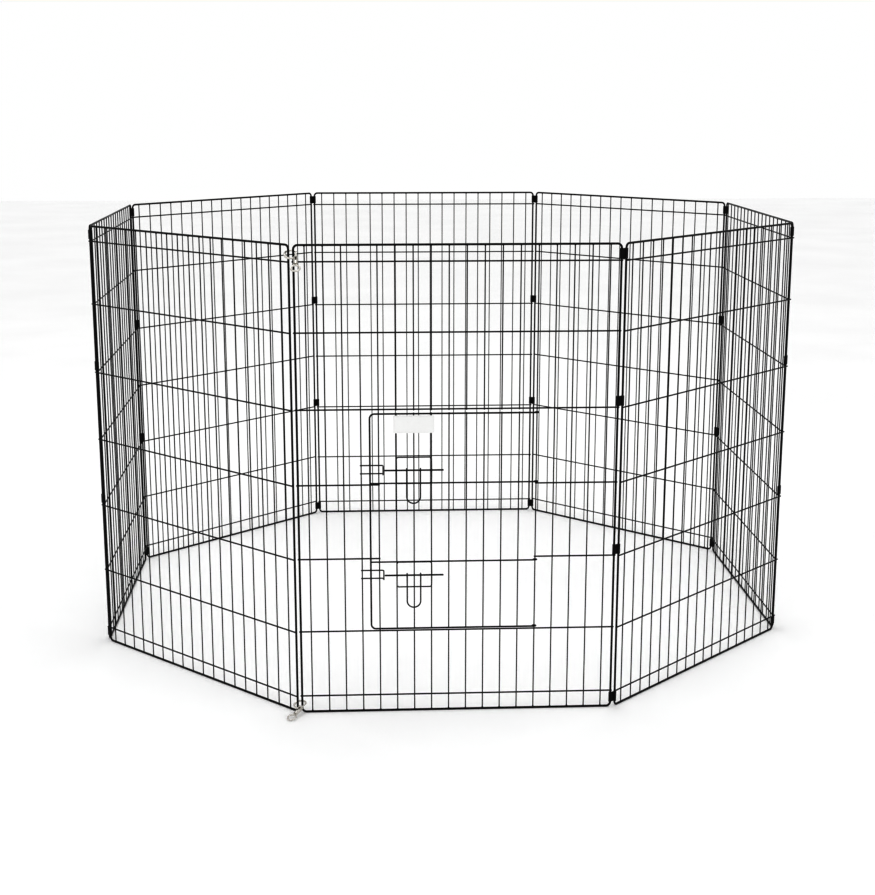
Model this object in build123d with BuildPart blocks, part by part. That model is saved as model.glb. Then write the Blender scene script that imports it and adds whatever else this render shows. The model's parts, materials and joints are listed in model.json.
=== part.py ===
"""Eight-panel folding wire playpen with a latched door, standing open as an octagon.

Units are millimetres and +Z is up. The origin is on the floor at the middle of the octagon.
The door panel faces -Y, and the other panels follow it anticlockwise seen from above.
Each panel is drawn in its own upright plane, where x runs along the panel, y is the height
and the plane's normal points out of the pen. Depths are measured along that normal.
"""

import os
from math import cos, radians, sin, tan

from build123d import *

# Panels
PANEL_COUNT = 8
PANEL_WIDTH = 610.0
PANEL_HEIGHT = 914.0
FRAME_R = 2.0
FRAME_CORNER_R = 8.0
UPRIGHT_R = 1.1
CROSSWIRE_R = 1.4
UPRIGHT_COUNT = 18
UPRIGHT_PITCH = 33.3
CROSSWIRE_HEIGHTS = (33.0, 165.0, 311.0, 457.0, 603.0, 749.0, 881.0)
CROSSWIRE_STUB = 3.5
WELD = 0.1

# Corners: two posts side by side, held by clips of folded sheet
POST_SPACING = 10.0
CLIP_HEIGHT = 19.0
CLIP_BOTTOMS = (11.0, 314.0, 606.0, 884.5)
CLIP_BORE_R = 2.3
CLIP_SHEET = 1.0
CLIP_WEB = 2.2

# Sweep of every wire eye
EYE_SWEEP = 300.0

# Doorway, counted in uprights from the seam corner
KEEPER_UPRIGHT = 3
LATCH_UPRIGHT = 4
HINGE_UPRIGHT = 13
DOORWAY_BOTTOM = CROSSWIRE_HEIGHTS[1]
DOORWAY_TOP = CROSSWIRE_HEIGHTS[4]
CUT_END = 1.8

# Door
DOOR_WIRE_R = 1.6
DOOR_EYE_R = 3.0
DOOR_TOP = DOORWAY_TOP - 7.5
DOOR_BOTTOM = DOORWAY_BOTTOM + 6.0
DOOR_CROSSWIRE_HEIGHTS = (305.5, 461.0)
DOOR_CORNER_R = 9.0
DOOR_UPRIGHT_BITE = 0.3

# Slide-bolt latches: a lower and an upper one
GUIDE_R = 1.2
GUIDE_SPAN = 50.5
GUIDE_FIRST_UPRIGHT = 5
GUIDE_LAST_UPRIGHT = 7
GUIDE_CORNER_R = 4.0
GUIDE_ARCH = 3.7
ROD_R = 1.6
ROD_LENGTH = 113.0
ROD_DEPTH = 5.7
ROD_FROM_CROSSWIRE = 26.0
ROD_GAP_TO_KEEPER = 0.5
HANDLE_R = 1.3
HANDLE_EYE_R = 3.2
HANDLE_WIDTH = 26.0
HANDLE_LENGTH = 66.0
HANDLE_FROM_TIP = 43.0
HANDLE_LEAN = 3.0
KEEPER_R = 1.2
KEEPER_GAP = 16.0
KEEPER_REACH = 8.0
KEEPER_DEPTH = 9.5
KEEPER_BEND_R = 4.0

# Name card
CARD_WIDTH = 78.0
CARD_HEIGHT = 34.0
CARD_THICKNESS = 1.2
CARD_TOP = 592.0
CARD_CORNER_R = 3.0
CARD_CLIP_R = 2.1
CARD_CLIP_HEIGHT = 8.0

# Snap hooks. Each is drawn in a plane with its origin at the middle of the hook's loop, x along
# the snap towards the eye, and y towards the sprung bolt.
HOOK_LOOP_R = 11.5
HOOK_WIRE_R = 2.0
HOOK_START = 40.0
HOOK_SWEEP = 274.0
GATE_OFFSET = 9.3
GATE_R = 1.6
GATE_TIP = -5.0
BARREL_R = 4.2
BARREL_START = 8.0
BARREL_END = 29.0
SPRING_ROOM = (10.5, 24.0)
SWIVEL_ROOM = (25.0, 27.2)
ROOM_R = 2.9
RUNNING_GAP = 0.25
COLLAR_R = 2.6
COLLAR_START = 11.0
COLLAR_LENGTH = 2.5
SLOT_WIDTH = 2.8
SLOT = (10.7, 21.0)
THUMB_STEM_R = 1.1
THUMB_R = 2.3
THUMB_HEIGHT = 6.6
SPRING_R = 2.1
SPRING_WIRE_R = 0.25
SPRING_TURNS = 5
EYE_R = 8.2
EYE_WIRE_R = 1.7
EYE_STEM_R = 1.5
EYE_HEAD_R = 2.4
EYE_HEAD = (25.5, 26.7)
EYE_SPACE = 1.2

UPPER_SNAP_HEIGHT = 895.0
UPPER_SNAP_HEADING = 0.0
UPPER_SNAP_DROOP = 33.0
LOWER_SNAP_HEADING = 36.0
LOWER_SNAP_DROOP = 17.0
FLOOR_GAP = 0.3

# Worked out from the dimensions above
TURN = 360.0 / PANEL_COUNT
POST_X = PANEL_WIDTH / 2 - FRAME_R
CORNER_X = POST_X + POST_SPACING / 2 / cos(radians(TURN / 2))
APOTHEM = CORNER_X / tan(radians(TURN / 2))
CLIP_RADIUS = POST_X * sin(radians(TURN / 2)) + APOTHEM * cos(radians(TURN / 2))
RAIL_TOP = PANEL_HEIGHT - FRAME_R
FIRST_UPRIGHT = -UPRIGHT_PITCH * (UPRIGHT_COUNT - 1) / 2
EYE_CENTRE = BARREL_END + EYE_SPACE + EYE_WIRE_R + EYE_R
LOWER_SNAP_HEIGHT = (
    FLOOR_GAP + EYE_WIRE_R + (EYE_CENTRE + EYE_R) * sin(radians(LOWER_SNAP_DROOP))
)

# Uprights lie flush with one face of the frame, and the crosswires are welded on that face.
UPRIGHT_INSET = FRAME_R - UPRIGHT_R
CROSSWIRE_INSET = FRAME_R + CROSSWIRE_R - WELD


def upright_x(index):
    """Distance of an upright from the middle of its panel."""
    return FIRST_UPRIGHT + UPRIGHT_PITCH * index


def wire_face(index):
    """Side of the panel that carries its crosswires: 1 is outside and -1 inside.

    Every second panel is turned about, so that the crosswires nest when the pen is folded.
    """
    return 1 if index % 2 else -1


def panel_plane(index):
    """Upright plane of a panel, with its origin at the middle of the panel's foot."""
    angle = radians(index * TURN)
    outward = Vector(sin(angle), -cos(angle), 0)
    along = Vector(cos(angle), sin(angle), 0)
    return Plane(origin=outward * APOTHEM, x_dir=along, z_dir=outward)


def level_plane(panel, height):
    """Horizontal plane across a panel. Its y runs into the pen."""
    foot = panel.from_local_coords(Vector(0, height, 0))
    return Plane(origin=foot, x_dir=panel.x_dir, z_dir=(0, 0, 1))


def section_plane(panel, x):
    """Plane square to the panel's length. Its x is the height and its y the depth."""
    foot = panel.from_local_coords(Vector(x, 0, 0))
    return Plane(origin=foot, x_dir=(0, 0, 1), z_dir=panel.x_dir)


def corner_plane(index, height):
    """Horizontal plane midway between the two posts at the far end of a panel."""
    angle = radians(-90 + TURN * (index + 0.5))
    middle = Vector(cos(angle), sin(angle), 0) * CLIP_RADIUS + Vector(0, 0, height)
    return Plane(origin=middle, x_dir=(-sin(angle), cos(angle), 0), z_dir=(0, 0, 1))


def snap_plane(height, heading, droop):
    """Plane of a snap hook on the seam posts, heading leftwards of -Y and drooping."""
    seam = corner_plane(-1, height)
    level = Vector(-sin(radians(heading)), -cos(radians(heading)), 0)
    up = Vector(0, 0, 1)
    axis = level * cos(radians(droop)) - up * sin(radians(droop))
    normal = up * cos(radians(droop)) + level * sin(radians(droop))
    return Plane(origin=seam.origin, x_dir=axis, z_dir=normal)


def snap_section(snap, x):
    """Plane square to a snap hook, centred on its barrel. Its x is the loop's normal."""
    centre = snap.from_local_coords(Vector(x, GATE_OFFSET, 0))
    return Plane(origin=centre, x_dir=snap.z_dir, z_dir=snap.x_dir)


def save(name, part):
    part.label = name
    export_step(part, f"parts/{name}.step")


def frame_wire(panel):
    """Perimeter wire of a panel, one closed loop with rounded corners."""
    with BuildPart() as frame:
        with BuildLine(panel) as path:
            FilletPolyline(
                (-POST_X, FRAME_R),
                (POST_X, FRAME_R),
                (POST_X, RAIL_TOP),
                (-POST_X, RAIL_TOP),
                radius=FRAME_CORNER_R,
                close=True,
            )
        loop = path.wires()[0]
        with BuildSketch(Plane(origin=loop @ 0, z_dir=loop % 0)):
            Circle(FRAME_R)
        sweep(path=loop)
    return frame.part


def upright_wires(panel, face, runs):
    """Uprights of a panel. Each run is a list of upright numbers, a bottom and a top."""
    with BuildPart() as uprights:
        for numbers, bottom, top in runs:
            with BuildSketch(level_plane(panel, bottom)):
                with Locations([(upright_x(n), -face * UPRIGHT_INSET) for n in numbers]):
                    Circle(UPRIGHT_R)
            extrude(amount=top - bottom)
    return uprights.part


def cross_wires(panel, face, runs):
    """Crosswires of a panel. Each run is a list of heights, a left end and a right end."""
    with BuildPart() as crosswires:
        for heights, left, right in runs:
            with BuildSketch(section_plane(panel, left)):
                with Locations([(height, face * CROSSWIRE_INSET) for height in heights]):
                    Circle(CROSSWIRE_R)
            extrude(amount=right - left)
    return crosswires.part


def clip_set(index):
    """Four sheet clips that wrap the two posts at the far end of a panel."""
    with BuildPart() as clips:
        for bottom in CLIP_BOTTOMS:
            with BuildSketch(corner_plane(index, bottom)):
                with GridLocations(POST_SPACING, 1, 2, 1):
                    Circle(CLIP_BORE_R + CLIP_SHEET)
                Rectangle(POST_SPACING, CLIP_WEB)
                with GridLocations(POST_SPACING, 1, 2, 1):
                    Circle(CLIP_BORE_R, mode=Mode.SUBTRACT)
            extrude(amount=CLIP_HEIGHT)
    return clips.part


def plain_panel(index, name):
    """A panel without a door: frame, uprights and crosswires."""
    panel = panel_plane(index)
    face = wire_face(index)
    wire_end = POST_X + CROSSWIRE_STUB
    save(f"{name}_frame", frame_wire(panel))
    every_upright = range(UPRIGHT_COUNT)
    save(f"{name}_uprights", upright_wires(panel, face, [(every_upright, FRAME_R, RAIL_TOP)]))
    save(f"{name}_crosswires", cross_wires(panel, face, [(CROSSWIRE_HEIGHTS, -wire_end, wire_end)]))


def door_panel():
    """The panel with the doorway: the wires that would cross the doorway stop at its edges."""
    panel = panel_plane(0)
    face = wire_face(0)
    wire_end = POST_X + CROSSWIRE_STUB
    whole = [n for n in range(UPRIGHT_COUNT) if not LATCH_UPRIGHT < n < HINGE_UPRIGHT]
    cut = [n for n in range(UPRIGHT_COUNT) if LATCH_UPRIGHT < n < HINGE_UPRIGHT]
    latch_edge = upright_x(LATCH_UPRIGHT) + CUT_END
    hinge_edge = upright_x(HINGE_UPRIGHT) - CUT_END
    across = [h for h in CROSSWIRE_HEIGHTS if not DOORWAY_BOTTOM < h < DOORWAY_TOP]
    stopped = [h for h in CROSSWIRE_HEIGHTS if DOORWAY_BOTTOM < h < DOORWAY_TOP]

    save("door_panel_frame", frame_wire(panel))
    upright_runs = [
        (whole, FRAME_R, RAIL_TOP),
        (cut, FRAME_R, DOORWAY_BOTTOM + CUT_END),
        (cut, DOORWAY_TOP - CUT_END, RAIL_TOP),
    ]
    save("door_panel_uprights", upright_wires(panel, face, upright_runs))
    crosswire_runs = [
        (across, -wire_end, wire_end),
        (stopped, -wire_end, latch_edge),
        (stopped, hinge_edge, wire_end),
    ]
    save("door_panel_crosswires", cross_wires(panel, face, crosswire_runs))


front = panel_plane(0)

# Depths in the door panel, from its inner face outwards
panel_upright_depth = wire_face(0) * UPRIGHT_INSET
door_depth = panel_upright_depth + DOOR_EYE_R
door_upright_depth = door_depth - DOOR_WIRE_R - UPRIGHT_R + DOOR_UPRIGHT_BITE
hinge_x = upright_x(HINGE_UPRIGHT)
door_left = (upright_x(KEEPER_UPRIGHT) + upright_x(LATCH_UPRIGHT)) / 2
guide_left = upright_x(GUIDE_FIRST_UPRIGHT)
guide_right = upright_x(GUIDE_LAST_UPRIGHT)
keeper_end = upright_x(LATCH_UPRIGHT) + KEEPER_REACH
rod_tip = keeper_end + KEEPER_R + ROD_GAP_TO_KEEPER
hinge_axis = Axis(front.from_local_coords(Vector(hinge_x, 0, panel_upright_depth)), (0, 0, 1))


def front_point(x, height, depth):
    return front.from_local_coords(Vector(x, height, depth))


def door_frame():
    """Outer wire of the door: a U on its side whose two ends are hinge eyes."""
    with BuildPart() as frame:
        with BuildLine() as path:
            FilletPolyline(
                front_point(hinge_x, DOOR_TOP, door_depth),
                front_point(door_left, DOOR_TOP, door_depth),
                front_point(door_left, DOOR_BOTTOM, door_depth),
                front_point(hinge_x, DOOR_BOTTOM, door_depth),
                radius=DOOR_CORNER_R,
            )
        bow = path.wires()[0]
        with BuildSketch(Plane(origin=bow @ 0, z_dir=bow % 0)):
            Circle(DOOR_WIRE_R)
        sweep(path=bow)
        with BuildSketch(section_plane(front, hinge_x)):
            with Locations((DOOR_TOP, door_depth), (DOOR_BOTTOM, door_depth)):
                Circle(DOOR_WIRE_R)
        revolve(axis=hinge_axis, revolution_arc=EYE_SWEEP)
    return frame.part


def door_crosswires():
    """Inner crosswires of the door, butted on its outer wire and curled at the hinge."""
    start = door_left + DOOR_WIRE_R - WELD
    with BuildPart() as crosswires:
        for height in DOOR_CROSSWIRE_HEIGHTS:
            with BuildSketch(section_plane(front, start)):
                with Locations((height, door_depth)):
                    Circle(CROSSWIRE_R)
            extrude(amount=hinge_x - start)
            with BuildSketch(section_plane(front, hinge_x)):
                with Locations((height, door_depth)):
                    Circle(CROSSWIRE_R)
            revolve(axis=hinge_axis, revolution_arc=EYE_SWEEP)
    return crosswires.part


def door_uprights():
    """Uprights of the door, in line with the panel's cut ones."""
    numbers = range(LATCH_UPRIGHT + 1, HINGE_UPRIGHT)
    bottom = DOOR_BOTTOM - DOOR_WIRE_R
    with BuildPart() as uprights:
        with BuildSketch(level_plane(front, bottom)):
            with Locations([(upright_x(n), -door_upright_depth) for n in numbers]):
                Circle(UPRIGHT_R)
        extrude(amount=DOOR_TOP + DOOR_WIRE_R - bottom)
    return uprights.part


def latch_guide(crosswire_height, side):
    """Closed wire loop that holds the bolt to the door.

    One long side is welded on a door crosswire and the other on three door uprights. Its short
    sides arch out over the bolt. Side is 1 for a loop above the crosswire and -1 for one below.
    """
    on_crosswire = door_depth + CROSSWIRE_R + GUIDE_R - WELD
    on_uprights = door_upright_depth + UPRIGHT_R + GUIDE_R - WELD
    over_rod = ROD_DEPTH + GUIDE_ARCH
    rod_height = crosswire_height + side * ROD_FROM_CROSSWIRE
    far_height = crosswire_height + side * GUIDE_SPAN
    with BuildPart() as guide:
        with BuildLine() as path:
            FilletPolyline(
                front_point(guide_left, crosswire_height, on_crosswire),
                front_point(guide_right, crosswire_height, on_crosswire),
                front_point(guide_right, rod_height, over_rod),
                front_point(guide_right, far_height, on_uprights),
                front_point(guide_left, far_height, on_uprights),
                front_point(guide_left, rod_height, over_rod),
                radius=[GUIDE_CORNER_R, GUIDE_CORNER_R, 2 * GUIDE_CORNER_R] * 2,
                close=True,
            )
        loop = path.wires()[0]
        with BuildSketch(Plane(origin=loop @ 0, z_dir=loop % 0)):
            Circle(GUIDE_R)
        sweep(path=loop)
    return guide.part


def latch_rod(height):
    """Bolt: a straight wire with rounded ends."""
    with BuildPart() as rod:
        with BuildSketch(section_plane(front, rod_tip)):
            with Locations((height, ROD_DEPTH)):
                Circle(ROD_R)
        extrude(amount=ROD_LENGTH)
        fillet(rod.edges(), radius=ROD_R / 2)
    return rod.part


def latch_handle(height):
    """U handle that hangs from the bolt by two eyes curled round it."""
    left = rod_tip + HANDLE_FROM_TIP
    right = left + HANDLE_WIDTH
    hang = Plane(origin=front_point(0, height, ROD_DEPTH), x_dir=front.x_dir, z_dir=front.z_dir)
    hang = hang.rotated((HANDLE_LEAN, 0, 0))
    rod_axis = Axis(hang.origin, -front.x_dir)
    bend = HANDLE_WIDTH / 2
    foot = HANDLE_LENGTH - HANDLE_R
    with BuildPart() as handle:
        with BuildLine(hang.offset(HANDLE_EYE_R)) as path:
            Line((left, 0), (left, bend - foot))
            ThreePointArc((left, bend - foot), (left + bend, -foot), (right, bend - foot))
            Line((right, bend - foot), (right, 0))
        bow = path.wires()[0]
        with BuildSketch(Plane(origin=bow @ 0, z_dir=bow % 0)):
            Circle(HANDLE_R)
        sweep(path=bow)
        for x in (left, right):
            start = hang.offset(HANDLE_EYE_R).from_local_coords(Vector(x, 0, 0))
            with BuildSketch(Plane(origin=start, x_dir=front.x_dir, z_dir=hang.y_dir)):
                Circle(HANDLE_R)
            revolve(axis=rod_axis, revolution_arc=EYE_SWEEP)
    return handle.part


def keeper(height):
    """Staple on two panel uprights, bent out through the door's edge bay to take the bolt."""
    depth = panel_upright_depth - UPRIGHT_R - KEEPER_R + WELD
    start = upright_x(KEEPER_UPRIGHT) - 2 * KEEPER_R
    upper = height + KEEPER_GAP / 2
    lower = height - KEEPER_GAP / 2
    with BuildPart() as staple:
        with BuildLine() as path:
            FilletPolyline(
                front_point(start, upper, depth),
                front_point(keeper_end, upper, depth),
                front_point(keeper_end, upper, KEEPER_DEPTH),
                front_point(keeper_end, lower, KEEPER_DEPTH),
                front_point(keeper_end, lower, depth),
                front_point(start, lower, depth),
                radius=KEEPER_BEND_R,
            )
        bow = path.wires()[0]
        with BuildSketch(Plane(origin=bow @ 0, z_dir=bow % 0)):
            Circle(KEEPER_R)
        sweep(path=bow)
    return staple.part


def name_card():
    """Blank card with two moulded clips behind it that snap on door uprights."""
    middle_height = CARD_TOP - CARD_HEIGHT / 2
    clip_bottom = middle_height - CARD_CLIP_HEIGHT / 2
    back = door_upright_depth + UPRIGHT_R + WELD
    clip_numbers = (GUIDE_FIRST_UPRIGHT, GUIDE_LAST_UPRIGHT)
    clip_places = [(upright_x(n), -door_upright_depth) for n in clip_numbers]
    with BuildPart() as card:
        with BuildSketch(front.offset(back)):
            with Locations((upright_x(GUIDE_FIRST_UPRIGHT + 1), middle_height)):
                RectangleRounded(CARD_WIDTH, CARD_HEIGHT, CARD_CORNER_R)
        extrude(amount=CARD_THICKNESS)
        with BuildSketch(level_plane(front, clip_bottom)):
            with Locations(clip_places):
                Circle(CARD_CLIP_R)
                with Locations((0, CARD_CLIP_R)):
                    Rectangle(2 * UPRIGHT_R - 2 * WELD, 2 * CARD_CLIP_R, mode=Mode.SUBTRACT)
                Circle(UPRIGHT_R + WELD / 2, mode=Mode.SUBTRACT)
        extrude(amount=CARD_CLIP_HEIGHT)
    return card.part


def snap_body(snap):
    """Cast body of a snap hook: open loop, hollow barrel, thumb slot and swivel socket."""
    with BuildPart() as body:
        with BuildLine(snap) as path:
            CenterArc((0, 0), HOOK_LOOP_R, HOOK_START, -HOOK_SWEEP)
        bow = path.wires()[0]
        with BuildSketch(Plane(origin=bow @ 0, z_dir=bow % 0)):
            Circle(HOOK_WIRE_R)
        sweep(path=bow)
        with BuildSketch(snap_section(snap, BARREL_START)):
            Circle(BARREL_R)
        extrude(amount=BARREL_END - BARREL_START)
        with BuildSketch(snap_section(snap, BARREL_START)):
            Circle(GATE_R + RUNNING_GAP)
        extrude(amount=SPRING_ROOM[0] - BARREL_START, mode=Mode.SUBTRACT)
        for room in (SPRING_ROOM, SWIVEL_ROOM):
            with BuildSketch(snap_section(snap, room[0])):
                Circle(ROOM_R)
            extrude(amount=room[1] - room[0], mode=Mode.SUBTRACT)
        with BuildSketch(snap_section(snap, SWIVEL_ROOM[1])):
            Circle(EYE_STEM_R + RUNNING_GAP)
        extrude(amount=BARREL_END - SWIVEL_ROOM[1], mode=Mode.SUBTRACT)
        with BuildSketch(snap):
            with Locations(((SLOT[0] + SLOT[1]) / 2, GATE_OFFSET)):
                Rectangle(SLOT[1] - SLOT[0], SLOT_WIDTH)
        extrude(amount=BARREL_R + WELD, mode=Mode.SUBTRACT)
    return body.part


def snap_gate(snap):
    """Sprung bolt that closes the hook, with its collar and thumb knob."""
    collar_middle = COLLAR_START + COLLAR_LENGTH / 2
    knob = snap.from_local_coords(Vector(collar_middle, GATE_OFFSET, THUMB_HEIGHT))
    with BuildPart(Plane(origin=knob, x_dir=snap.x_dir, z_dir=snap.z_dir)) as gate:
        Sphere(THUMB_R)
        with BuildSketch(snap_section(snap, GATE_TIP)):
            Circle(GATE_R)
        extrude(amount=COLLAR_START - GATE_TIP)
        with BuildSketch(snap_section(snap, COLLAR_START)):
            Circle(COLLAR_R)
        extrude(amount=COLLAR_LENGTH)
        with BuildSketch(snap):
            with Locations((collar_middle, GATE_OFFSET)):
                Circle(THUMB_STEM_R)
        extrude(amount=THUMB_HEIGHT)
    return gate.part


def snap_spring(snap):
    """Coil spring between the bolt's collar and the end of its room."""
    start = COLLAR_START + COLLAR_LENGTH + SPRING_WIRE_R + WELD
    length = SPRING_ROOM[1] - SPRING_WIRE_R - WELD - start
    base = snap.from_local_coords(Vector(start, GATE_OFFSET, 0))
    with BuildPart() as spring:
        with BuildLine() as path:
            Helix(length / SPRING_TURNS, length, SPRING_R, base, snap.x_dir)
        coil = path.wires()[0]
        with BuildSketch(Plane(origin=coil @ 0, z_dir=coil % 0)):
            Circle(SPRING_WIRE_R)
        sweep(path=coil)
    return spring.part


def snap_eye(snap):
    """Swivel eye: a ring on a headed stem that turns in the barrel's end."""
    centre = snap.from_local_coords(Vector(EYE_CENTRE, GATE_OFFSET, 0))
    with BuildPart(Plane(origin=centre, x_dir=snap.x_dir, z_dir=snap.z_dir)) as eye:
        Torus(EYE_R, EYE_WIRE_R)
        with BuildSketch(snap_section(snap, EYE_HEAD[0])):
            Circle(EYE_HEAD_R)
        extrude(amount=EYE_HEAD[1] - EYE_HEAD[0])
        with BuildSketch(snap_section(snap, EYE_HEAD[1])):
            Circle(EYE_STEM_R)
        extrude(amount=EYE_CENTRE - EYE_R - EYE_HEAD[1])
    return eye.part


os.makedirs("parts", exist_ok=True)

door_panel()
for number in range(1, PANEL_COUNT):
    plain_panel(number, f"panel_{number}")

# The seam corner, between the last panel and the door panel, has no clips.
for number in range(PANEL_COUNT - 1):
    save(f"corner_{number + 1}_clips", clip_set(number))

save("door_frame", door_frame())
save("door_crosswires", door_crosswires())
save("door_uprights", door_uprights())
save("name_card", name_card())

latches = {
    "lower": (DOOR_CROSSWIRE_HEIGHTS[0], -1),
    "upper": (DOOR_CROSSWIRE_HEIGHTS[1], 1),
}
for place, (crosswire_height, side) in latches.items():
    bolt_height = crosswire_height + side * ROD_FROM_CROSSWIRE
    save(f"{place}_latch_guide", latch_guide(crosswire_height, side))
    save(f"{place}_latch_bolt", latch_rod(bolt_height))
    save(f"{place}_latch_handle", latch_handle(bolt_height))
    save(f"{place}_keeper", keeper(bolt_height))

snaps = {
    "lower": snap_plane(LOWER_SNAP_HEIGHT, LOWER_SNAP_HEADING, LOWER_SNAP_DROOP),
    "upper": snap_plane(UPPER_SNAP_HEIGHT, UPPER_SNAP_HEADING, UPPER_SNAP_DROOP),
}
for place, snap in snaps.items():
    save(f"{place}_snap_body", snap_body(snap))
    save(f"{place}_snap_gate", snap_gate(snap))
    save(f"{place}_snap_spring", snap_spring(snap))
    save(f"{place}_snap_eye", snap_eye(snap))
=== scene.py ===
"""Looks for the folding wire playpen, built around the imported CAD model.

Units are metres and +Z is up. The origin is on the floor at the middle of the octagon, and the
door panel faces -Y. The CAD nodes carry the wires, clips, latches and snap hooks. This script
adds the weld beads and the card's rim, and gives every piece a material.
"""

import json
from math import cos, radians, sin
from random import Random

import bmesh
import bpy
from mathutils import Matrix, Vector


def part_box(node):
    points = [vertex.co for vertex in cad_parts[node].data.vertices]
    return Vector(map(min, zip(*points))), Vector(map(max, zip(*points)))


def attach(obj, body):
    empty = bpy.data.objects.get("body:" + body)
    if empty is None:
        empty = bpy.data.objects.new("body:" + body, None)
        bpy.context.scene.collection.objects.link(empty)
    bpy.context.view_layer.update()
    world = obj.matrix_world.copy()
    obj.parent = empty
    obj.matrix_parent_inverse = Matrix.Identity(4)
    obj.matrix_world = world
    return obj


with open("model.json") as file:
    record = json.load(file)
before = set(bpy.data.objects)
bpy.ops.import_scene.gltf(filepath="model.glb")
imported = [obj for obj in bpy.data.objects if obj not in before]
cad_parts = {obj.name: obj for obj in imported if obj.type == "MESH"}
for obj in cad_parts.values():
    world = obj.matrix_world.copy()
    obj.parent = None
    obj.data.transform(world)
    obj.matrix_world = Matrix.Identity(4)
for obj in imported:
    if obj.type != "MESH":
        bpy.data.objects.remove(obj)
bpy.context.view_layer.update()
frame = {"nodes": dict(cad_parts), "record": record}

MM = 0.001

# Dimensions of the CAD model that the added pieces follow, in millimetres
PANEL_COUNT = 8
FRAME_R = 2.0
UPRIGHT_R = 1.1
CROSSWIRE_R = 1.4
UPRIGHT_COUNT = 18
UPRIGHT_PITCH = 33.3
FIRST_UPRIGHT = -UPRIGHT_PITCH * (UPRIGHT_COUNT - 1) / 2
CROSSWIRE_HEIGHTS = (33.0, 165.0, 311.0, 457.0, 603.0, 749.0, 881.0)
WELD = 0.1
UPRIGHT_INSET = FRAME_R - UPRIGHT_R
CROSSWIRE_INSET = FRAME_R + CROSSWIRE_R - WELD

# Posts and top rail, from the door panel's own frame wire
door_panel_low, door_panel_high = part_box("door_panel_frame")
POST_X = (door_panel_high.x - door_panel_low.x) / 2 / MM - FRAME_R
RAIL_TOP = door_panel_high.z / MM - FRAME_R

# The doorway in the door panel, as upright numbers and heights
LATCH_UPRIGHT = 4
HINGE_UPRIGHT = 13
DOORWAY = (165.0, 603.0)

# Door wires: heights, and depth measured outwards from the middle of the door panel
DOOR_RAILS = (171.0, 595.5)
DOOR_CROSSWIRES = (305.5, 461.0)
DOOR_UPRIGHT_DEPTH = -0.3

# Weld beads, in millimetres, and how much each varies in size. Posts and rails have larger ones.
BEAD_SPREAD = 1.55
BEAD_RISE = 0.75
BEAD_VARIATION = 0.18
POST_BEAD_SPREAD = 1.15 * BEAD_SPREAD
RAIL_BEAD_SPREAD = 1.1 * BEAD_SPREAD
RAIL_BEAD_RISE = 1.35
DOOR_BEAD_SEED = 99
PANEL_BEAD_SEED = 100

# Rim of the card, in millimetres. The bevel is a share of the rise.
CARD_CORNER_R = 3.0
RIM_INSET = 1.6
RIM_WIDTH = 1.1
RIM_RISE = 0.35
RIM_SINK = 0.1
RIM_BEVEL = 0.3
RIM_SMALLEST_R = 0.8
RIM_CORNER_STEPS = 8

# Studio: each softbox has a place and a width in metres, and a power in watts
FLOOR_SIZE = 14.0
SOFTBOXES = {
    "key_softbox": ((-2.6, -3.2, 3.6), 1.0, 16.0),
    "fill_softbox": ((3.2, -2.2, 2.8), 1.2, 9.0),
    "top_softbox": ((0.0, 0.6, 4.2), 1.6, 14.0),
}
SOFTBOX_AIM = (0.0, 0.0, 0.3)

# Camera: place in metres, downward tilt and turn to the right in degrees, lens and sensor in mm
CAMERA_PLACE = (-0.1841, -3.6103, 1.1865)
CAMERA_TILT = 12.9
CAMERA_TURN = 2.91
LENS = 62.6
SENSOR = 36.0
DISPLAY_GAMMA = 0.6


# ---------------------------------------------------------------- materials

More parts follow.
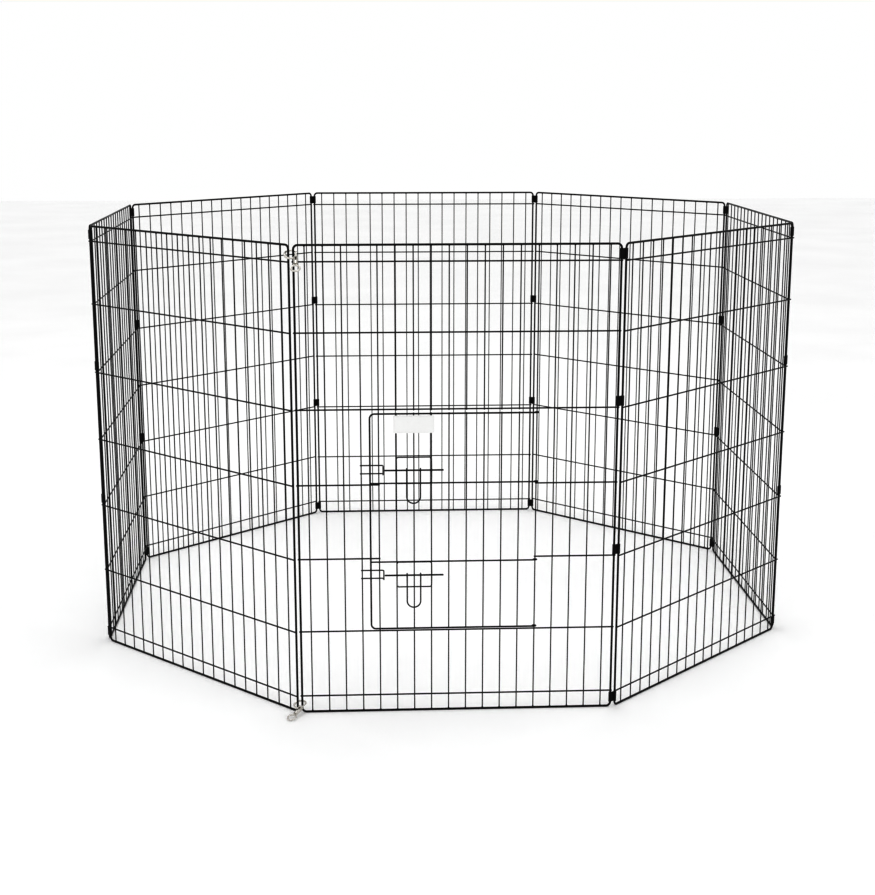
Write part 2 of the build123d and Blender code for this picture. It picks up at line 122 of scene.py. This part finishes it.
class Shader:
    """A material's node tree, with short calls for the nodes that it is made of."""

    def __init__(self, name):
        self.material = bpy.data.materials.new(name)
        self.material.use_nodes = True
        self.nodes = self.material.node_tree.nodes
        self.links = self.material.node_tree.links
        self.surface = self.nodes["Principled BSDF"]
        self.place = self.nodes.new("ShaderNodeTexCoord").outputs["Object"]

    def set(self, **values):
        """Sets sockets of the surface shader. An underscore stands for a space in their names."""
        for key, value in values.items():
            self.surface.inputs[key.replace("_", " ")].default_value = value

    def stretched(self, scale):
        """The object's coordinates, scaled differently along each axis."""
        mapping = self.nodes.new("ShaderNodeMapping")
        mapping.inputs["Scale"].default_value = scale
        self.links.new(self.place, mapping.inputs["Vector"])
        return mapping.outputs["Vector"]

    def noise(self, scale, detail=3.0, roughness=0.55, place=None):
        node = self.nodes.new("ShaderNodeTexNoise")
        node.inputs["Scale"].default_value = scale
        node.inputs["Detail"].default_value = detail
        node.inputs["Roughness"].default_value = roughness
        self.links.new(place or self.place, node.inputs["Vector"])
        return node.outputs["Fac"]

    def remap(self, value, low, high, to_low, to_high):
        """Maps low..high to to_low..to_high and holds the ends."""
        node = self.nodes.new("ShaderNodeMapRange")
        for key, number in zip(
            ("From Min", "From Max", "To Min", "To Max"), (low, high, to_low, to_high)
        ):
            node.inputs[key].default_value = number
        self.links.new(value, node.inputs["Value"])
        return node.outputs["Result"]

    def combine(self, operation, a, b):
        node = self.nodes.new("ShaderNodeMath")
        node.operation = operation
        for socket, value in zip(node.inputs, (a, b)):
            if isinstance(value, (int, float)):
                socket.default_value = value
            else:
                self.links.new(value, socket)
        return node.outputs["Value"]

    def blend(self, factor, a, b):
        """Mixes two colours, each an RGB tuple or an output."""
        node = self.nodes.new("ShaderNodeMix")
        node.data_type = "RGBA"
        self.links.new(factor, node.inputs["Factor"])
        for socket, value in ((node.inputs[6], a), (node.inputs[7], b)):
            if isinstance(value, tuple):
                socket.default_value = (*value, 1.0)
            else:
                self.links.new(value, socket)
        return node.outputs[2]

    def bump(self, height, depth, under=None):
        """Adds relief of the given depth in metres, over an earlier relief if there is one."""
        node = self.nodes.new("ShaderNodeBump")
        node.inputs["Strength"].default_value = 1.0
        node.inputs["Distance"].default_value = depth
        self.links.new(height, node.inputs["Height"])
        if under is not None:
            self.links.new(under, node.inputs["Normal"])
        return node.outputs["Normal"]

    def drive(self, **outputs):
        for key, output in outputs.items():
            self.links.new(output, self.surface.inputs[key.replace("_", " ")])


def black_coat(name, tone, sheen_low, sheen_high, chips):
    """Black dip coating on steel: orange peel, thin and thick runs, and a few small chips."""
    coat = Shader(name)
    thickness = coat.noise(26.0, 4.0)
    cloud = coat.noise(7.0, 2.0)
    specks = coat.noise(620.0, 2.0, 0.7)
    handled = coat.remap(cloud, 0.3, 0.7, 0.8, 1.0)
    wear = coat.combine("MULTIPLY", coat.noise(210.0, 5.0, 0.62), handled)
    chipped = coat.remap(wear, chips, chips + 0.015, 0.0, 1.0)
    deep = tuple(0.55 * tone for _ in range(3))
    pale = (1.5 * tone, 1.5 * tone, 1.6 * tone)
    paint = coat.blend(coat.remap(thickness, 0.3, 0.7, 0.0, 1.0), deep, pale)
    dusted = coat.blend(coat.remap(specks, 0.66, 0.78, 0.0, 0.25), paint, (0.09, 0.088, 0.085))
    bare = coat.blend(coat.noise(900.0), (0.20, 0.19, 0.18), (0.36, 0.35, 0.34))
    coat.drive(
        Base_Color=coat.blend(chipped, dusted, bare),
        Metallic=coat.remap(chipped, 0.0, 1.0, 0.0, 0.9),
        Roughness=coat.combine(
            "ADD",
            coat.remap(cloud, 0.3, 0.7, sheen_low, sheen_high),
            coat.remap(specks, 0.5, 0.8, 0.0, 0.12),
        ),
    )
    peel = coat.bump(coat.noise(520.0, 2.0), 0.00006)
    runs = coat.bump(thickness, 0.0004, peel)
    coat.drive(Normal=coat.bump(coat.remap(chipped, 0.0, 1.0, 1.0, 0.0), 0.00008, runs))
    coat.set(IOR=1.4, Specular_IOR_Level=0.22)
    return coat.material


def nickel(name, tone, rough_low, rough_high):
    """Nickel plate over a casting: soft casting waves, handling scratches and a little tarnish."""
    plate = Shader(name)
    cast = plate.noise(330.0, 3.0)
    tarnish = plate.noise(95.0, 5.0, 0.6)
    scratches = plate.noise(160.0, 4.0, 0.7, plate.stretched((1.0, 9.0, 5.0)))
    bright = (tone, 0.975 * tone, 0.93 * tone)
    dull = (0.62 * tone, 0.585 * tone, 0.53 * tone)
    plate.drive(
        Base_Color=plate.blend(plate.remap(tarnish, 0.48, 0.72, 0.0, 0.8), bright, dull),
        Roughness=plate.combine(
            "ADD",
            plate.remap(tarnish, 0.35, 0.7, rough_low, rough_high),
            plate.remap(scratches, 0.55, 0.75, 0.0, 0.16),
        ),
    )
    waves = plate.bump(cast, 0.00012)
    plate.drive(Normal=plate.bump(scratches, 0.00003, waves))
    plate.set(Metallic=1.0)
    return plate.material


def spring_wire(name):
    """Drawn spring steel: fine die lines and a straw tint."""
    steel = Shader(name)
    lines = steel.noise(1400.0, 3.0, 0.6, steel.stretched((1.0, 0.2, 0.2)))
    tint = steel.remap(steel.noise(260.0, 2.0), 0.35, 0.65, 0.0, 1.0)
    steel.drive(
        Base_Color=steel.blend(tint, (0.52, 0.50, 0.47), (0.60, 0.55, 0.45)),
        Roughness=steel.remap(lines, 0.3, 0.7, 0.22, 0.38),
        Normal=steel.bump(lines, 0.00002),
    )
    steel.set(Metallic=1.0)
    return steel.material


def card_plastic(name, paint):
    """Moulded plastic card: faint mould grain, sink marks in relief with painted shade on them,
    scuffs and a little dust.
    """
    card = Shader(name)
    grain = card.noise(1500.0, 3.0)
    sink_relief_and_shade = card.noise(38.0, 2.0)
    scuffs = card.noise(70.0, 6.0, 0.7, card.stretched((6.0, 6.0, 0.8)))
    dust = card.noise(480.0, 4.0, 0.65)
    grey = tuple(0.8 * channel for channel in paint)
    # A slightly darker copy of the paint: painted shade laid over the sink marks, whose relief
    # comes from the bump.
    painted_sink_shade = tuple(0.95 * channel for channel in paint)
    paint_and_sink_shade = card.blend(card.remap(sink_relief_and_shade, 0.35, 0.65, 0.0, 0.35), paint, painted_sink_shade)
    scuffed = card.blend(card.remap(scuffs, 0.62, 0.74, 0.0, 0.45), paint_and_sink_shade, grey)
    card.drive(
        Base_Color=card.blend(card.remap(dust, 0.64, 0.74, 0.0, 0.3), scuffed, (0.55, 0.53, 0.5)),
        Roughness=card.combine(
            "ADD",
            card.remap(grain, 0.3, 0.7, 0.26, 0.34),
            card.remap(scuffs, 0.58, 0.74, 0.0, 0.2),
        ),
    )
    moulded = card.bump(sink_relief_and_shade, 0.0002)
    card.drive(Normal=card.bump(grain, 0.00003, moulded))
    card.set(IOR=1.49)
    return card.material


def studio_floor(name):
    """Matt pale floor with the faintest mottling."""
    floor = Shader(name)
    mottle = floor.noise(1.6, 4.0, 0.5)
    patches = floor.remap(mottle, 0.35, 0.65, 0.0, 1.0)
    floor.drive(
        Base_Color=floor.blend(patches, (0.945, 0.945, 0.945), (0.975, 0.975, 0.975)),
        Roughness=floor.remap(mottle, 0.35, 0.65, 0.7, 0.85),
        Normal=floor.bump(floor.noise(220.0, 3.0), 0.0002),
    )
    return floor.material


MATERIALS = {
    "panel_wire": black_coat("panel_wire_coat", 0.006, 0.26, 0.40, 0.735),
    "door_wire": black_coat("door_wire_coat", 0.006, 0.24, 0.38, 0.725),
    "latch_wire": black_coat("latch_wire_coat", 0.007, 0.20, 0.36, 0.70),
    "clip_steel": black_coat("clip_steel_coat", 0.008, 0.32, 0.48, 0.715),
    "card_plastic": card_plastic("card_plastic_white", (0.87, 0.87, 0.865)),
    "snap_nickel": nickel("snap_body_nickel", 0.70, 0.16, 0.34),
    "snap_gate_nickel": nickel("snap_gate_nickel", 0.74, 0.12, 0.26),
    "spring_steel": spring_wire("spring_steel_drawn"),
}


# ---------------------------------------------------------------- geometry helpers

def panel_matrix(index):
    """From a panel's own millimetres (along, height, outwards) to the row frame in metres."""
    low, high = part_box(f"{body_name(index)}_frame")
    foot = Vector(((low.x + high.x) / 2, (low.y + high.y) / 2, 0.0))
    outward = foot.normalized()
    up = Vector((0.0, 0.0, 1.0))
    turn = Matrix((up.cross(outward), up, outward)).transposed().to_4x4()
    return Matrix.Translation(foot) @ turn @ Matrix.Scale(MM, 4)


def body_name(index):
    return f"panel_{index}" if index else "door_panel"


def wire_face(index):
    """Side of the panel that carries its crosswires: 1 is outside and -1 inside."""
    return 1 if index % 2 else -1


def upright_x(index):
    return FIRST_UPRIGHT + UPRIGHT_PITCH * index


def piece_from(bm, name, body, slot, smooth=True):
    """Turns a bmesh into a piece that rides on a body and has the material of that slot."""
    bmesh.ops.recalc_face_normals(bm, faces=bm.faces)
    mesh = bpy.data.meshes.new(name)
    bm.to_mesh(mesh)
    bm.free()
    for polygon in mesh.polygons:
        polygon.use_smooth = smooth
    piece = bpy.data.objects.new(name, mesh)
    bpy.context.scene.collection.objects.link(piece)
    mesh.materials.append(MATERIALS[slot])
    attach(piece, body)
    return piece


def add_bead(bm, to_row, centre, spread, rise, chance):
    """Adds one squashed weld bead. Spread lies in the panel and rise stands out of it."""
    vary = [chance.uniform(1 - BEAD_VARIATION, 1 + BEAD_VARIATION) for _ in range(3)]
    sizes = (spread * vary[0], spread * vary[1], rise * vary[2])
    matrix = to_row @ Matrix.Translation(centre) @ Matrix.Diagonal((*sizes, 1.0))
    bmesh.ops.create_icosphere(bm, subdivisions=2, radius=1.0, matrix=matrix)


# ---------------------------------------------------------------- weld beads

def doorway_holds(number, height):
    """Whether a crossing of the door panel falls inside the doorway, where there is no wire."""
    between_uprights = LATCH_UPRIGHT < number < HINGE_UPRIGHT
    return between_uprights and DOORWAY[0] < height < DOORWAY[1]


def panel_welds(index):
    """Beads where a panel's uprights, crosswires and frame meet."""
    chance = Random(PANEL_BEAD_SEED + index)
    to_row = panel_matrix(index)
    face = wire_face(index)
    contact = face * (CROSSWIRE_INSET - CROSSWIRE_R + WELD / 2)
    bm = bmesh.new()
    for height in CROSSWIRE_HEIGHTS:
        for number in range(UPRIGHT_COUNT):
            if index or not doorway_holds(number, height):
                centre = (upright_x(number), height, contact)
                add_bead(bm, to_row, centre, BEAD_SPREAD, BEAD_RISE, chance)
        for x in (-POST_X, POST_X):
            add_bead(bm, to_row, (x, height, contact), POST_BEAD_SPREAD, BEAD_RISE, chance)
    for number in range(UPRIGHT_COUNT):
        for height in (2 * FRAME_R, RAIL_TOP - FRAME_R):
            centre = (upright_x(number), height, face * UPRIGHT_INSET)
            add_bead(bm, to_row, centre, RAIL_BEAD_SPREAD, RAIL_BEAD_RISE, chance)
    name = body_name(index)
    piece_from(bm, f"{name}_weld_beads", name, "panel_wire")


def door_welds():
    """Beads where the door's uprights cross its rails and crosswires."""
    chance = Random(DOOR_BEAD_SEED)
    to_row = panel_matrix(0)
    bm = bmesh.new()
    contact = DOOR_UPRIGHT_DEPTH + UPRIGHT_R - WELD
    for number in range(LATCH_UPRIGHT + 1, HINGE_UPRIGHT):
        for height in (*DOOR_RAILS, *DOOR_CROSSWIRES):
            centre = (upright_x(number), height, contact)
            add_bead(bm, to_row, centre, BEAD_SPREAD, BEAD_RISE, chance)
    piece_from(bm, "door_weld_beads", "door", "door_wire")


# ---------------------------------------------------------------- card rim

def card_rim():
    """Raised rim moulded round the edge of the blank card."""
    low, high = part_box("name_card")
    inset, width, rise = RIM_INSET * MM, RIM_WIDTH * MM, RIM_RISE * MM
    bevel = RIM_BEVEL * rise
    foot = low.y + RIM_SINK * MM
    shoulder = low.y - rise + bevel
    crest = low.y - rise

    def outline(margin, y):
        """Points of a rounded rectangle inside the card's edge, anticlockwise from the front."""
        radius = max(CARD_CORNER_R * MM - margin, RIM_SMALLEST_R * MM)
        points = []
        corners = (
            (high.x - margin - radius, high.z - margin - radius, 0.0),
            (low.x + margin + radius, high.z - margin - radius, 90.0),
            (low.x + margin + radius, low.z + margin + radius, 180.0),
            (high.x - margin - radius, low.z + margin + radius, 270.0),
        )
        for x, z, start in corners:
            for step in range(RIM_CORNER_STEPS + 1):
                angle = radians(start + 90.0 * step / RIM_CORNER_STEPS)
                points.append((x + radius * cos(angle), y, z + radius * sin(angle)))
        return points

    rings = (
        (inset, foot),
        (inset, shoulder),
        (inset + bevel, crest),
        (inset + width - bevel, crest),
        (inset + width, shoulder),
        (inset + width, foot),
    )
    bm = bmesh.new()
    loops = [[bm.verts.new(point) for point in outline(*ring)] for ring in rings]
    count = len(loops[0])
    for one, other in zip(loops, loops[1:] + loops[:1]):
        for k in range(count):
            bm.faces.new((one[k], one[(k + 1) % count], other[(k + 1) % count], other[k]))
    piece_from(bm, "name_card_rim", "door", "card_plastic", smooth=False)


# ---------------------------------------------------------------- materials on the CAD nodes

def dress_cad_nodes():
    """Gives each CAD node the material of its slot."""
    for entry in frame["record"]["subparts"]:
        node = frame["nodes"][entry["node"]]
        node.data.materials.clear()
        node.data.materials.append(MATERIALS[entry["material_slot"]])


# ---------------------------------------------------------------- studio

def studio():
    """Pale floor, soft lights and a white surround."""
    bm = bmesh.new()
    bmesh.ops.create_grid(bm, x_segments=1, y_segments=1, size=FLOOR_SIZE)
    mesh = bpy.data.meshes.new("studio_floor")
    bm.to_mesh(mesh)
    bm.free()
    mesh.materials.append(studio_floor("studio_floor_matt"))
    floor = bpy.data.objects.new("studio_floor", mesh)
    bpy.context.scene.collection.objects.link(floor)

    world = bpy.data.worlds.new("white_surround")
    world.use_nodes = True
    background = world.node_tree.nodes["Background"]
    background.inputs["Color"].default_value = (1.0, 1.0, 1.0, 1.0)
    background.inputs["Strength"].default_value = 1.0
    bpy.context.scene.world = world

    for name, (place, size, power) in SOFTBOXES.items():
        light = bpy.data.lights.new(name, "AREA")
        light.shape = "SQUARE"
        light.size = size
        light.energy = power
        lamp = bpy.data.objects.new(name, light)
        lamp.location = place
        aim = Vector(SOFTBOX_AIM) - Vector(place)
        lamp.rotation_euler = aim.to_track_quat("-Z", "Y").to_euler()
        bpy.context.scene.collection.objects.link(lamp)


def camera():
    """The photograph's viewpoint: in front of the door, a little left of its middle, from above."""
    data = bpy.data.cameras.new("photo_camera")
    data.sensor_fit = "AUTO"
    data.sensor_width = SENSOR
    data.lens = LENS
    view = bpy.data.objects.new("photo_camera", data)
    view.location = CAMERA_PLACE
    view.rotation_euler = (radians(90.0 - CAMERA_TILT), 0.0, radians(-CAMERA_TURN))
    bpy.context.scene.collection.objects.link(view)
    bpy.context.scene.camera = view


dress_cad_nodes()
for panel_index in range(PANEL_COUNT):
    panel_welds(panel_index)
door_welds()
card_rim()
studio()
camera()
bpy.context.scene.view_settings.view_transform = "Standard"
bpy.context.scene.view_settings.gamma = DISPLAY_GAMMA
